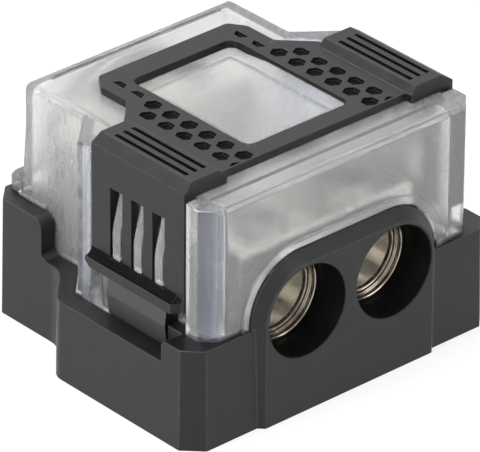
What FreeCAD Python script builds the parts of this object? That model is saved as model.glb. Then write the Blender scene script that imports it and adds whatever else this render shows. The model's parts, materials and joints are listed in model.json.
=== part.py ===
"""Power distribution block: a stepped metal terminal block in a black tray, under a clear
cover that is held by a black top frame. Two large cable ports face forward (-Y)
and four smaller ones face back (+Y).

Frame: millimetres, +X to the right seen from the two large ports, +Y back, +Z up. The
origin is under the middle of the body, on the surface that it stands on.
"""
import FreeCAD, Part
import math
import os

Vec = FreeCAD.Vector

# Tray
TRAY_WIDTH = 62.0
TRAY_REAR_WIDTH = 49.6
TRAY_DEPTH = 54.4
TRAY_DRAFT = 0.35
CORNER_CUT = 2.85
SHOULDER_START = 31.3
SHOULDER_CONVEX_R = 3.0
SHOULDER_CONCAVE_R = 6.0
FLOOR = 3.0
SIDE_WALL = 3.45
REAR_WALL = 2.85
FRONT_WALL = 3.0
FRONT_TOP = 17.4
LEDGE_TOP = 13.7
REAR_TOP = 20.4
LEDGE_START = 6.4
LEDGE_END = 42.3
PILLAR_DEPTH = 9.75
STEP_TOP_R = 2.0
STEP_FOOT_R = 1.2
RIM_NICK = 0.7

# Cable ports
FRONT_PORT_R = 7.73
FRONT_PORT_PITCH = 17.86
FRONT_PORT_Z = 17.7
REAR_PORT_R = 4.6
REAR_PORT_PITCH_X = 13.8
REAR_PORT_LOW_Z = 12.6
REAR_PORT_HIGH_Z = 25.0
BOSS_OUT = 1.3
BOSS_BEVEL = 1.73
FRONT_BOSS_R = 10.0
REAR_BOSS_R = 15.5
REAR_BOSS_Z = 21.0
BOSS_WALL = 5.2

# Terminal block
BLOCK_GAP = 0.1
BLOCK_FRONT_HALF_WIDTH = 17.6
BLOCK_REAR_HALF_WIDTH = 13.6
BLOCK_BASE = 6.0
BLOCK_FRONT_TOP = 28.0
BLOCK_MID_TOP = 21.0
BLOCK_REAR_TOP = 32.9
BLOCK_FRONT_DEPTH = 19.2
BLOCK_MID_DEPTH = 11.0
BLOCK_EDGE = 0.6
BIG_BORE_R = 5.9
BIG_BORE_DEPTH = 16.6
BIG_RING_R = 7.3
BIG_RING_DEPTH = 1.2
SMALL_BORE_R = 3.5
UPPER_BORE_DEPTH = 11.4
LOWER_BORE_DEPTH = 22.4

# Screws
BIG_SCREW_R = 4.0
BIG_SCREW_LENGTH = 6.0
BIG_SCREW_PITCH = 8.6
BIG_SCREW_INSET = 5.0
BIG_SOCKET = 4.0
SMALL_SCREW_R = 3.0
SMALL_SCREW_LENGTH = 4.8
SMALL_SOCKET = 3.0
SMALL_SCREW_INSET = 5.5
SCREW_LIFT = 0.3
SCREW_FIT = 0.05
SOCKET_DEPTH = 3.0
MOUNT_HOLE_R = 2.3
MOUNT_HOLE_X = 22.6
MOUNT_HOLE_Y = -6.0
FIXING_R = 2.0
FIXING_HEAD_R = 3.6
FIXING_HEAD = 2.2
FIXING_LENGTH = 9.0
FIXING_SINK = 2.6
FIXING_FRONT_INSET = 8.9
FIXING_REAR_INSET = 12.4
RIB = 2.4
RIB_SPACING = 15.0

# Clear cover
COVER_TOP = 40.3
COVER_WALL = 2.0
COVER_FIT = 0.15
COVER_FRONT_SETBACK = 0.7
COVER_CORNER = 2.3
COVER_LAP = 2.5
COVER_SHOULDER = 30.6
COVER_CORNER_R = 0.8
COVER_REAR_CUT = 0.8
COVER_DRAFT = 0.45
COVER_EDGE = 0.8
COVER_SIDE_BEVEL = 0.35
COVER_REAR_ROUND = 2.0
COVER_BORDER = 3.3
COVER_BORDER_DROP = 0.3
PANE_RISE = 0.85
PANE_FIT = 0.15
BEAD_OUT = 0.4
BEAD_HEIGHT = 0.5
BEAD_LIFT = 0.1
ARCH_GAP = 0.35
ARCH_CORNER = 0.4
LIP_WIDTH = 1.35
LIP_OUT = 0.35
APRON_HEIGHT = 2.9
APRON_SETBACK = 0.4
APRON_R = 1.6
APRON_ROUND = 0.6
GROOVE_WIDTH = 1.5
GROOVE_DEPTH = 0.4
GROOVE_INSET = 3.4
GROOVE_HALF_LENGTH = 17.5

# Top frame
PLATE = 1.4
PLATE_FRONT = 7.4
PLATE_REAR = 42.3
PLATE_REAR_HALF_WIDTH = 15.05
PLATE_CORNER_X = 1.9
PLATE_CORNER_Y = 2.8
PLATE_SHOULDER_Y = 33.4
PLATE_R = 1.0
WINDOW_HALF_WIDTH = 10.4
WINDOW_FRONT = 10.9
WINDOW_REAR = 38.0
WINDOW_R = 1.5
GRIP_RISE = 1.1
GRIP_FRONT = 6.1
GRIP_REAR = 27.35
GRIP_INNER = 18.8
GRIP_BEVEL_IN = 1.25
GRIP_BEVEL_OUT = 1.95
GRIP_BEVEL_OUT_DROP = 1.3
GRIP_BEVEL_FRONT = 0.55
LEG = 2.2
LEG_FOOT_Z = 22.4
SLOT_WIDTH = 0.75
SLOT_PITCH = 1.68
SLOT_FIRST_X = 21.08
SLOT_FRONT = 8.6
SLOT_REAR = 25.0
SLOT_COUNT = 3
SLOT_DEPTH = 1.8
HEX_FLATS = 2.55
HEX_DEPTH = 0.6
HEX_PITCH = 4.15
HEX_ROW_X = 12.85
HEX_ROW_STEP = 2.9
HEX_FIRST_Y = 9.1
HEX_COUNT = 8
HEX_OUTER_COUNT = 6
HEX_FIELD_HALF = 16.65
HEX_FIELD_REAR_HALF = 12.75
HEX_FIELD_DIAGONAL = 18.2
HEX_FRONT_BORDER = 0.4
HEX_REAR_BORDER = 2.6
WINDOW_SLOT_TOP = 35.5
WINDOW_SLOT_FOOT = 23.35
WINDOW_SLOT_TOP_WIDTH = 2.8
WINDOW_SLOT_FOOT_WIDTH = 2.75
WINDOW_SLOT_FIRST_Y = 11.93
WINDOW_SLOT_PITCH = 4.85
WEDGE_WIDTH = 1.9
WEDGE_SINK = 0.1
WEDGE_TOP_SINK = 1.85
WEDGE_SHARE = 0.43
WEDGE_BEND_R = 8.0
WEDGE_FIT = 0.05
TAB_OUT = 1.4
TAB_THICK = 1.65
TAB_FRONT = 7.7
TAB_CORNER = 1.0
TAB_FILLET = 1.3
COVE_SINK = 0.2
TAB_END_BEVEL = 1.0
TONGUE_REAR = 23.35
TONGUE_BULGE = 0.45
TONGUE_WIDEST_Z = 17.2
TONGUE_WIDEST_R = 1.0
TONGUE_FOOT_SHARE = 0.9
TONGUE_GAP = 0.3

# Places that follow from the sizes above
HALF_WIDTH = TRAY_WIDTH / 2
REAR_HALF_WIDTH = TRAY_REAR_WIDTH / 2
FRONT_Y = -TRAY_DEPTH / 2
REAR_Y = TRAY_DEPTH / 2
INNER_HALF = HALF_WIDTH - SIDE_WALL
INNER_REAR_HALF = REAR_HALF_WIDTH - REAR_WALL
COVER_HALF = INNER_HALF - COVER_FIT
COVER_REAR_HALF = INNER_REAR_HALF - COVER_FIT
COVER_FRONT_Y = FRONT_Y + COVER_FRONT_SETBACK
COVER_REAR_Y = REAR_Y - REAR_WALL - COVER_FIT
APRON_REAR_Y = REAR_Y - APRON_SETBACK
COVER_FOOT = LEDGE_TOP - COVER_LAP
CHANNEL_X = COVER_HALF - LEG - COVER_FIT
PLATE_TOP = COVER_TOP + PLATE
GRIP_TOP = PLATE_TOP + GRIP_RISE
BLOCK_FRONT_Y = FRONT_Y + BOSS_WALL + BLOCK_GAP
BLOCK_REAR_Y = REAR_Y - BOSS_WALL - BLOCK_GAP
BLOCK_STEP_1 = BLOCK_FRONT_Y + BLOCK_FRONT_DEPTH
BLOCK_STEP_2 = BLOCK_STEP_1 + BLOCK_MID_DEPTH
REACH = 100.0
OVER = 1.0
SHORTEST_LINE = 1e-6
ROUND_SHORT = 0.01


def back(distance):
    """Y of a place measured back from the tray's front wall."""
    return FRONT_Y + distance


def in_plan(z):
    """Lays outline coordinates out as X and Y at height z."""
    return lambda u, v: Vec(u, v, z)


def in_front_view(y):
    """Lays outline coordinates out as X and Z at depth y."""
    return lambda u, v: Vec(u, y, v)


def in_side_view(x):
    """Lays outline coordinates out as Y and Z at x."""
    return lambda u, v: Vec(x, u, v)


def outline(corners, lay):
    """Closed wire through (u, v, radius) corners, each rounded to its own radius."""
    count = len(corners)
    starts = []
    ends = []
    middles = []
    for i in range(count):
        u, v, radius = corners[i]
        here = Vec(u, v, 0)
        before = Vec(corners[i - 1][0], corners[i - 1][1], 0)
        after = Vec(corners[(i + 1) % count][0], corners[(i + 1) % count][1], 0)
        into = (before - here).normalize()
        out = (after - here).normalize()
        half_angle = into.getAngle(out) / 2
        run = radius / math.tan(half_angle) if radius else 0.0
        starts.append(here + into * run)
        ends.append(here + out * run)
        middle = here
        if radius:
            centre = here + (into + out).normalize() * (radius / math.sin(half_angle))
            middle = centre + (here - centre).normalize() * radius
        middles.append(middle)
    edges = []
    for i in range(count):
        place = [lay(p.x, p.y) for p in (starts[i], middles[i], ends[i], starts[(i + 1) % count])]
        if corners[i][2]:
            edges.append(Part.Arc(place[0], place[1], place[2]).toShape())
        if (place[2] - place[3]).Length > SHORTEST_LINE:
            edges.append(Part.LineSegment(place[2], place[3]).toShape())
    return Part.Wire(edges)


def mirrored(corners):
    """Both sides of an outline that is given on +X from its front to its back."""
    other = [(-u, v, r) for u, v, r in reversed(corners)]
    return corners + other


def outward(start, end):
    """Unit vector that points out of an outline's edge; outlines run anticlockwise."""
    return Vec(end[1] - start[1], start[0] - end[0], 0).normalize()


def grown(corners, distance):
    """Outline with every edge moved outwards by a distance, inwards where it is negative."""
    moved = []
    for i, (u, v, radius) in enumerate(corners):
        first = outward(corners[i - 1], corners[i])
        second = outward(corners[i], corners[(i + 1) % len(corners)])
        shift = (first + second) * (distance / (1 + first.dot(second)))
        moved.append((u + shift.x, v + shift.y, radius))
    return moved


def prism(corners, z_low, z_high):
    """Upright solid over a plan outline."""
    face = Part.Face(outline(corners, in_plan(z_low)))
    return face.extrude(Vec(0, 0, z_high - z_low))


def bar(corners, y_low, y_high):
    """Solid along Y over an outline seen from the front."""
    face = Part.Face(outline(corners, in_front_view(y_low)))
    return face.extrude(Vec(0, y_high - y_low, 0))


def rail(corners, x_low, x_high):
    """Solid along X over an outline seen from the side."""
    face = Part.Face(outline(corners, in_side_view(x_low)))
    return face.extrude(Vec(x_high - x_low, 0, 0))


def box(x, y, z):
    """Block between pairs of limits along each axis."""
    return Part.makeBox(x[1] - x[0], y[1] - y[0], z[1] - z[0], Vec(x[0], y[0], z[0]))


def rod(radius, length, start, axis):
    """Round bar from a start point along an axis."""
    return Part.makeCylinder(radius, length, start, axis)


def hexagon(flats, z_low, z_high, x, y):
    """Six-sided bar with corners towards +Y and -Y."""
    corner = flats / math.sqrt(3)
    points = []
    for i in range(6):
        angle = math.radians(90 + 60 * i)
        points.append((x + corner * math.cos(angle), y + corner * math.sin(angle), 0))
    return prism(points, z_low, z_high)


def both_sides(shape):
    """A shape and its mirror image across the middle plane."""
    return [shape, shape.mirror(Vec(0, 0, 0), Vec(1, 0, 0))]


# Tray outlines

def tray_corners():
    """Plan outline of the tray: a wide front half, S-shaped shoulders and a narrow back."""
    shoulder_end = SHOULDER_START + HALF_WIDTH - REAR_HALF_WIDTH
    return mirrored([
        (HALF_WIDTH - CORNER_CUT, FRONT_Y, 0),
        (HALF_WIDTH, FRONT_Y + CORNER_CUT, 0),
        (HALF_WIDTH, back(SHOULDER_START), SHOULDER_CONVEX_R),
        (REAR_HALF_WIDTH, back(shoulder_end), SHOULDER_CONCAVE_R),
        (REAR_HALF_WIDTH, REAR_Y - CORNER_CUT, 0),
        (REAR_HALF_WIDTH - CORNER_CUT, REAR_Y, 0),
    ])


def pocket_corners():
    """Plan outline of the tray's hollow, with thick pillars in the two front corners."""
    pillar = COVER_HALF - COVER_WALL - COVER_FIT
    drop = INNER_HALF - INNER_REAR_HALF
    return mirrored([
        (pillar, FRONT_Y + FRONT_WALL, 0),
        (pillar, back(PILLAR_DEPTH), 0),
        (INNER_HALF, back(PILLAR_DEPTH), 0),
        (INNER_HALF, back(SHOULDER_START), 0),
        (INNER_REAR_HALF, back(SHOULDER_START + drop), 0),
        (INNER_REAR_HALF, REAR_Y - REAR_WALL, 0),
    ])


def above_rim():
    """Space above the stepped rim: high at the back, low at the sides, middling in front."""
    space = rail([
        (FRONT_Y - REACH, FRONT_TOP, 0),
        (back(LEDGE_START), FRONT_TOP, 0),
        (back(LEDGE_START) + RIM_NICK, FRONT_TOP - RIM_NICK, 0),
        (back(LEDGE_START) + RIM_NICK, LEDGE_TOP, 0),
        (back(LEDGE_END), LEDGE_TOP, STEP_FOOT_R),
        (back(LEDGE_END), REAR_TOP, STEP_TOP_R),
        (REAR_Y + REACH, REAR_TOP, 0),
        (REAR_Y + REACH, REACH, 0),
        (FRONT_Y - REACH, REACH, 0),
    ], -REACH, REACH)
    pillars = box((-COVER_HALF, COVER_HALF), (FRONT_Y, back(PILLAR_DEPTH)), (0, FRONT_TOP))
    return space.cut(pillars)


def front_arch(radius):
    """Front view outline round the two large ports: flat top and rounded shoulders."""
    reach = FRONT_PORT_PITCH / 2 + radius
    return mirrored([(reach, 0, 0), (reach, FRONT_PORT_Z + radius, radius)])


def cover_arch(radius):
    """The cover's front arch, with shoulders a little tighter than the boss's."""
    (u, v, _), (reach, top, corner) = front_arch(radius)[:2]
    return mirrored([(u, v, 0), (reach, top, corner - ARCH_CORNER)])


def rear_arch(radius):
    """Back view outline round the four small ports: a half round on straight sides."""
    return mirrored([(radius, 0, 0), (radius, REAR_BOSS_Z + radius, radius)])


def boss(arch, radius, face_y, inward):
    """Port boss: a bevelled block that runs in from its face to the terminal block."""
    bevel_y = face_y + inward * BOSS_BEVEL
    root_y = face_y + inward * (BOSS_OUT + BOSS_WALL)
    face = outline(arch(radius - BOSS_BEVEL), in_front_view(face_y))
    shoulder = outline(arch(radius), in_front_view(bevel_y))
    nose = Part.makeLoft([face, shoulder], True, True)
    body = bar(arch(radius), min(bevel_y, root_y), max(bevel_y, root_y))
    return nose.fuse(body)


def front_ports():
    """Axis places of the two large ports."""
    return [(side * FRONT_PORT_PITCH / 2, FRONT_PORT_Z) for side in (-1, 1)]


def rear_ports():
    """Axis places of the four small ports, lower pair first."""
    return [(side * REAR_PORT_PITCH_X / 2, z)
            for z in (REAR_PORT_LOW_Z, REAR_PORT_HIGH_Z) for side in (-1, 1)]


def fixing_places():
    """Plan places of the two screws that hold the terminal block down."""
    return [(0.0, BLOCK_FRONT_Y + FIXING_FRONT_INSET), (0.0, BLOCK_REAR_Y - FIXING_REAR_INSET)]


def tray():
    """Black moulded tray with its stepped rim, port bosses, ribs and mounting pads."""
    foot = outline(grown(tray_corners(), TRAY_DRAFT), in_plan(0))
    head = outline(tray_corners(), in_plan(REAR_TOP))
    body = Part.makeLoft([foot, head], True, True)
    body = body.cut(above_rim())
    body = body.cut(prism(pocket_corners(), FLOOR, REACH))
    parts = [
        boss(front_arch, FRONT_BOSS_R, FRONT_Y - BOSS_OUT, 1),
        boss(rear_arch, REAR_BOSS_R, REAR_Y + BOSS_OUT, -1),
    ]
    for i in range(-1, 2):
        middle = i * RIB_SPACING
        parts.append(box((-BLOCK_REAR_HALF_WIDTH, BLOCK_REAR_HALF_WIDTH),
                         (middle - RIB / 2, middle + RIB / 2), (FLOOR - OVER, BLOCK_BASE)))
    seat = FIXING_HEAD_R + RIB / 2
    for x, y in fixing_places():
        parts.append(box((x - seat, x + seat), (y - seat, y + seat), (FLOOR - OVER, BLOCK_BASE)))
    body = body.multiFuse(parts)
    port_depth = BOSS_OUT + BOSS_WALL + 2 * OVER
    holes = [rod(FRONT_PORT_R, port_depth, Vec(x, FRONT_Y - BOSS_OUT - OVER, z), Vec(0, 1, 0))
             for x, z in front_ports()]
    holes += [rod(REAR_PORT_R, port_depth, Vec(x, REAR_Y + BOSS_OUT + OVER, z), Vec(0, -1, 0))
              for x, z in rear_ports()]
    for x, y in fixing_places():
        below = Vec(x, y, -OVER)
        holes.append(rod(FIXING_R + SCREW_FIT, BLOCK_BASE + 2 * OVER, below, Vec(0, 0, 1)))
        holes.append(rod(FIXING_HEAD_R + COVER_FIT, FIXING_SINK + OVER, below, Vec(0, 0, 1)))
    for side in (-1, 1):
        holes.append(rod(MOUNT_HOLE_R, REACH, Vec(side * MOUNT_HOLE_X, MOUNT_HOLE_Y, -OVER),
                         Vec(0, 0, 1)))
    return body.cut(Part.Compound(holes)).removeSplitter()


# Terminal block and screws

def big_screw_places():
    """Plan places of the four large clamping screws, two over each large bore."""
    first = BLOCK_FRONT_Y + BIG_SCREW_INSET
    return [(x, first + i * BIG_SCREW_PITCH) for x, _ in front_ports() for i in range(2)]


def small_screw_places():
    """Place and block top of the four small clamping screws, lower pair first."""
    low_y = BLOCK_STEP_2 - SMALL_SCREW_INSET
    high_y = (BLOCK_STEP_2 + BLOCK_REAR_Y) / 2
    places = []
    for x, z in rear_ports():
        lower = z == REAR_PORT_LOW_Z
        places.append((x, low_y if lower else high_y, z + SMALL_BORE_R))
    return places


def block_corners():
    """Plan outline of the terminal block: wide over the large bores, narrow behind."""
    return mirrored([
        (BLOCK_FRONT_HALF_WIDTH, BLOCK_FRONT_Y, 0),
        (BLOCK_FRONT_HALF_WIDTH, BLOCK_STEP_1, 0),
        (BLOCK_REAR_HALF_WIDTH, BLOCK_STEP_1, 0),
        (BLOCK_REAR_HALF_WIDTH, BLOCK_REAR_Y, 0),
    ])


def terminal_block():
    """Plated metal block in three steps, with blind cable bores and tapped holes."""
    body = prism(block_corners(), BLOCK_BASE, BLOCK_REAR_TOP)
    body = body.common(rail([
        (BLOCK_FRONT_Y, BLOCK_BASE, 0),
        (BLOCK_REAR_Y, BLOCK_BASE, 0),
        (BLOCK_REAR_Y, BLOCK_REAR_TOP, 0),
        (BLOCK_STEP_2, BLOCK_REAR_TOP, 0),
        (BLOCK_STEP_2, BLOCK_MID_TOP, 0),
        (BLOCK_STEP_1, BLOCK_MID_TOP, 0),
        (BLOCK_STEP_1, BLOCK_FRONT_TOP, 0),
        (BLOCK_FRONT_Y + BLOCK_EDGE, BLOCK_FRONT_TOP, 0),
        (BLOCK_FRONT_Y, BLOCK_FRONT_TOP - BLOCK_EDGE, 0),
    ], -REACH, REACH))
    cuts = []
    for x, z in front_ports():
        mouth = Vec(x, BLOCK_FRONT_Y - OVER, z)
        cuts.append(rod(BIG_RING_R, BIG_RING_DEPTH + OVER, mouth, Vec(0, 1, 0)))
        cuts.append(rod(BIG_BORE_R, BIG_BORE_DEPTH + OVER, mouth, Vec(0, 1, 0)))
    for x, z in rear_ports():
        depth = LOWER_BORE_DEPTH if z == REAR_PORT_LOW_Z else UPPER_BORE_DEPTH
        cuts.append(rod(SMALL_BORE_R, depth + OVER, Vec(x, BLOCK_REAR_Y + OVER, z),
                        Vec(0, -1, 0)))
    for x, y in big_screw_places():
        cuts.append(rod(BIG_SCREW_R + SCREW_FIT, REACH, Vec(x, y, FRONT_PORT_Z), Vec(0, 0, 1)))
    for x, y, roof in small_screw_places():
        cuts.append(rod(SMALL_SCREW_R + SCREW_FIT, REACH, Vec(x, y, roof - SMALL_BORE_R),
                        Vec(0, 0, 1)))
    for x, y in fixing_places():
        top = FIXING_SINK + FIXING_LENGTH
        cuts.append(rod(FIXING_R + SCREW_FIT, top + COVER_FIT, Vec(x, y, 0), Vec(0, 0, 1)))
    return body.cut(Part.Compound(cuts)).removeSplitter()


def set_screw(x, y, foot, radius, length, socket):
    """Headless screw with a hexagon socket in its top."""
    body = rod(radius, length, Vec(x, y, foot), Vec(0, 0, 1))
    top = foot + length
    return body.cut(hexagon(socket, top - SOCKET_DEPTH, top + OVER, x, y))


def fixing_screw(x, y):
    """Cap screw that comes up through the floor into the block."""
    head = rod(FIXING_HEAD_R, FIXING_HEAD, Vec(x, y, FIXING_SINK - FIXING_HEAD), Vec(0, 0, 1))
    shank = rod(FIXING_R, FIXING_LENGTH, Vec(x, y, FIXING_SINK), Vec(0, 0, 1))
    return head.fuse(shank)


# Clear cover

def cover_corners(draft):
    """Plan outline of the cover, with a channel each side for a leg and a drafted back half."""
    leg_front = back(GRIP_FRONT) - COVER_FIT
    leg_rear = back(GRIP_REAR) + COVER_FIT
    rear_half = COVER_REAR_HALF - draft
    shoulder_end = COVER_SHOULDER + COVER_HALF - rear_half
    return mirrored([
        (COVER_HALF - COVER_CORNER, COVER_FRONT_Y, COVER_CORNER_R),
        (COVER_HALF, COVER_FRONT_Y + COVER_CORNER, COVER_CORNER_R),
        (COVER_HALF, leg_front, 0),
        (CHANNEL_X, leg_front, 0),
        (CHANNEL_X, leg_rear, 0),
        (COVER_HALF, leg_rear, 0),
        (COVER_HALF, back(COVER_SHOULDER), COVER_CORNER_R),
        (rear_half, back(shoulder_end), 0),
        (rear_half, COVER_REAR_Y - draft - COVER_REAR_CUT, 0),
        (rear_half - COVER_REAR_CUT, COVER_REAR_Y - draft, 0),
    ])


def cover_hollow_corners():
    """Plan outline of the cover's inside, straight behind the legs' channels."""
    half = CHANNEL_X - COVER_WALL
    rear_half = COVER_REAR_HALF - COVER_DRAFT - COVER_WALL
    diagonal = COVER_HALF + back(COVER_SHOULDER) - COVER_WALL * math.sqrt(2)
    return mirrored([
        (half, COVER_FRONT_Y + COVER_WALL, COVER_CORNER_R),
        (half, diagonal - half, 0),
        (rear_half, diagonal - rear_half, 0),
        (rear_half, COVER_REAR_Y - COVER_WALL, 0),
    ])


def cover_body():
    """Solid outside form of the cover, with a small bevel round its top."""
    bevel_z = COVER_TOP - COVER_SIDE_BEVEL
    foot = outline(cover_corners(0), in_plan(COVER_FOOT))
    head = outline(cover_corners(COVER_DRAFT), in_plan(bevel_z))
    top = outline(grown(cover_corners(COVER_DRAFT), -COVER_SIDE_BEVEL), in_plan(COVER_TOP))
    body = Part.makeLoft([foot, head], True, True).fuse(Part.makeLoft([head, top], True, True))
    return body.common(cover_side_view())


def cover_side_view():
    """Cover seen from the side: a bevelled front edge, a lowered border and a rounded back."""
    border_top = COVER_TOP - COVER_BORDER_DROP
    border_y = COVER_FRONT_Y + COVER_BORDER
    return rail([
        (COVER_FRONT_Y - OVER, COVER_FOOT - OVER, 0),
        (COVER_REAR_Y, COVER_FOOT - OVER, 0),
        (COVER_REAR_Y, COVER_FOOT, 0),
        (COVER_REAR_Y - COVER_DRAFT, COVER_TOP, COVER_REAR_ROUND),
        (border_y + COVER_BORDER_DROP, COVER_TOP, 0),
        (border_y, border_top, 0),
        (COVER_FRONT_Y + COVER_EDGE, border_top, 0),
        (COVER_FRONT_Y, border_top - COVER_EDGE, 0),
        (COVER_FRONT_Y - OVER, border_top - COVER_EDGE - OVER, 0),
    ], -REACH, REACH)


def window_corners(gap, radius):
    """Plan outline of the frame's window, drawn in by a gap."""
    return grown(mirrored([
        (WINDOW_HALF_WIDTH, back(WINDOW_FRONT), radius),
        (WINDOW_HALF_WIDTH, back(WINDOW_REAR), radius),
    ]), -gap)


def rim_beads():
    """Low beads along the foot of the cover's sides, just above the tray's rim."""
    ring = grown(cover_corners(0), BEAD_OUT)
    ledge_z = LEDGE_TOP + BEAD_LIFT
    rear_z = REAR_TOP + BEAD_LIFT
    ledge = prism(ring, ledge_z, ledge_z + BEAD_HEIGHT)
    rear = prism(ring, rear_z, rear_z + BEAD_HEIGHT)
    front_y = back(GRIP_REAR) + LEG
    step_y = back(LEDGE_END)
    return [ledge.common(box((-REACH, REACH), (front_y, step_y - STEP_FOOT_R), (0, REACH))),
            rear.common(box((-REACH, REACH), (step_y + STEP_TOP_R, COVER_REAR_Y), (0, REACH)))]


def cover_groove():
    """Shallow groove along the back of the top, with round ends."""
    middle = COVER_REAR_Y - GROOVE_INSET
    half = GROOVE_WIDTH / 2
    corners = mirrored([
        (GROOVE_HALF_LENGTH, middle - half, half),
        (GROOVE_HALF_LENGTH, middle + half, half),
    ])
    return prism(corners, COVER_TOP - GROOVE_DEPTH, COVER_TOP + OVER)


def arch_lip(arch, radius, y_low, y_high, z_low):
    """Raised lip round a port arch, from a given height up."""
    ring = bar(arch(radius + LIP_WIDTH), y_low, y_high).cut(
        bar(arch(radius), y_low - OVER, y_high + OVER))
    return ring.cut(box((-REACH, REACH), (y_low - OVER, y_high + OVER), (-OVER, z_low)))


def apron():
    """Low ledge across the cover's back that rests on the tray's rear rim."""
    top = REAR_TOP + APRON_HEIGHT
    plan = prism(mirrored([
        (COVER_REAR_HALF, COVER_REAR_Y - COVER_WALL / 2, 0),
        (COVER_REAR_HALF, APRON_REAR_Y, APRON_R),
    ]), REAR_TOP, top)
    edges = [e for e in plan.Edges
             if e.BoundBox.ZMin > REAR_TOP + OVER and e.BoundBox.YMax > COVER_REAR_Y]
    return plan.makeChamfer(APRON_ROUND, edges)


def leg_ribs():
    """Wedge ribs that stand in the leg slots of the right-hand frame leg."""
    ribs = []
    face_x = COVER_HALF - WEDGE_SINK
    top_x = COVER_HALF - WEDGE_TOP_SINK
    foot_z = WINDOW_SLOT_FOOT + WEDGE_FIT
    bend_z = WINDOW_SLOT_FOOT + WEDGE_SHARE * (WINDOW_SLOT_TOP - WINDOW_SLOT_FOOT)
    for i in range(SLOT_COUNT):
        middle = back(WINDOW_SLOT_FIRST_Y + i * WINDOW_SLOT_PITCH)
        ribs.append(bar([
            (CHANNEL_X - OVER, WINDOW_SLOT_TOP, 0),
            (CHANNEL_X - OVER, foot_z, 0),
            (face_x, foot_z, 0),
            (face_x, bend_z, WEDGE_BEND_R),
            (top_x, WINDOW_SLOT_TOP, 0),
        ], middle - WEDGE_WIDTH / 2, middle + WEDGE_WIDTH / 2))
    return ribs


def clear_cover():
    """Clear moulded cover: stepped box with port arches, lips, channels and wedge ribs."""
    inner_top = COVER_TOP - COVER_WALL
    front_opening = FRONT_BOSS_R + ARCH_GAP
    rear_opening = REAR_BOSS_R + ARCH_GAP
    parts = [
        prism(window_corners(PANE_FIT, WINDOW_R), inner_top + OVER, COVER_TOP + PANE_RISE),
        arch_lip(cover_arch, front_opening, COVER_FRONT_Y - LIP_OUT, COVER_FRONT_Y + OVER,
                 FRONT_TOP),
        arch_lip(rear_arch, rear_opening, COVER_REAR_Y - OVER, APRON_REAR_Y, REAR_TOP),
        apron(),
    ] + rim_beads()
    for rib in leg_ribs():
        parts += both_sides(rib)
    shell = cover_body().cut(cover_groove()).multiFuse(parts)
    hollow = [
        prism(cover_hollow_corners(), COVER_FOOT - OVER, inner_top),
        prism(window_corners(COVER_WALL, 0), inner_top - OVER, inner_top + PANE_RISE),
        box((-REACH, REACH), (COVER_FRONT_Y - OVER, back(PILLAR_DEPTH) + COVER_FIT),
            (0, FRONT_TOP)),
        bar(cover_arch(front_opening), FRONT_Y - OVER, back(BOSS_WALL) + OVER),
        bar(rear_arch(rear_opening), back(TRAY_DEPTH - BOSS_WALL) - OVER, REAR_Y + OVER),
    ]
    return shell.cut(Part.Compound(hollow)).removeSplitter()


# Top frame

def plate_corners():
    """Plan outline of the frame's flat plate, which runs in under the grips."""
    under_grip = GRIP_INNER + GRIP_BEVEL_IN
    shoulder = back(PLATE_SHOULDER_Y)
    return mirrored([
        (under_grip, back(PLATE_FRONT), 0),
        (under_grip, shoulder + PLATE_REAR_HALF_WIDTH - under_grip, 0),
        (PLATE_REAR_HALF_WIDTH, shoulder, PLATE_R),
        (PLATE_REAR_HALF_WIDTH, back(PLATE_REAR - PLATE_CORNER_Y), PLATE_R),
        (PLATE_REAR_HALF_WIDTH - PLATE_CORNER_X, back(PLATE_REAR), PLATE_R),
    ])


def honeycomb():
    """Hexagonal pockets in two staggered rows on the right, clipped to the field's border."""
    bottom = PLATE_TOP - HEX_DEPTH
    top = PLATE_TOP + OVER
    field = prism(mirrored([
        (HEX_FIELD_HALF, back(PLATE_FRONT + HEX_FRONT_BORDER), 0),
        (HEX_FIELD_HALF, HEX_FIELD_DIAGONAL - HEX_FIELD_HALF, 0),
        (HEX_FIELD_REAR_HALF, HEX_FIELD_DIAGONAL - HEX_FIELD_REAR_HALF, 0),
        (HEX_FIELD_REAR_HALF, back(PLATE_REAR - HEX_REAR_BORDER), 0),
    ]), bottom, top)
    pockets = []
    for i in range(HEX_COUNT):
        y = back(HEX_FIRST_Y + i * HEX_PITCH)
        pockets.append(hexagon(HEX_FLATS, bottom, top, HEX_ROW_X, y))
    for i in range(HEX_OUTER_COUNT):
        y = back(HEX_FIRST_Y + (i - 1 / 2) * HEX_PITCH)
        pockets.append(hexagon(HEX_FLATS, bottom, top, HEX_ROW_X + HEX_ROW_STEP, y))
    return [pocket.common(field) for pocket in pockets]


def grip():
    """Raised grip on the right: bevelled inside, outside and in front."""
    outer = COVER_HALF
    front = back(GRIP_FRONT)
    section = bar([
        (GRIP_INNER, COVER_TOP, 0),
        (GRIP_INNER, PLATE_TOP, 0),
        (GRIP_INNER + GRIP_BEVEL_IN, GRIP_TOP, 0),
        (outer - GRIP_BEVEL_OUT, GRIP_TOP, 0),
        (outer, GRIP_TOP - GRIP_BEVEL_OUT_DROP, 0),
        (outer, COVER_TOP, 0),
    ], front, back(GRIP_REAR))
    nose = rail([
        (front - OVER, GRIP_TOP - GRIP_RISE - OVER * GRIP_RISE / GRIP_BEVEL_FRONT, 0),
        (front + GRIP_BEVEL_FRONT, GRIP_TOP, 0),
        (front + GRIP_BEVEL_FRONT, GRIP_TOP + OVER, 0),
        (front - OVER, GRIP_TOP + OVER, 0),
    ], 0, REACH)
    return section.cut(nose)


def grip_slots():
    """Three long blind slots in the top of each grip."""
    slots = []
    half = SLOT_WIDTH / 2
    for i in range(SLOT_COUNT):
        x = SLOT_FIRST_X + i * SLOT_PITCH
        slots.append(box((x - half, x + half), (back(SLOT_FRONT), back(SLOT_REAR)),
                         (GRIP_TOP - SLOT_DEPTH, GRIP_TOP + OVER)))
    return slots


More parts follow.
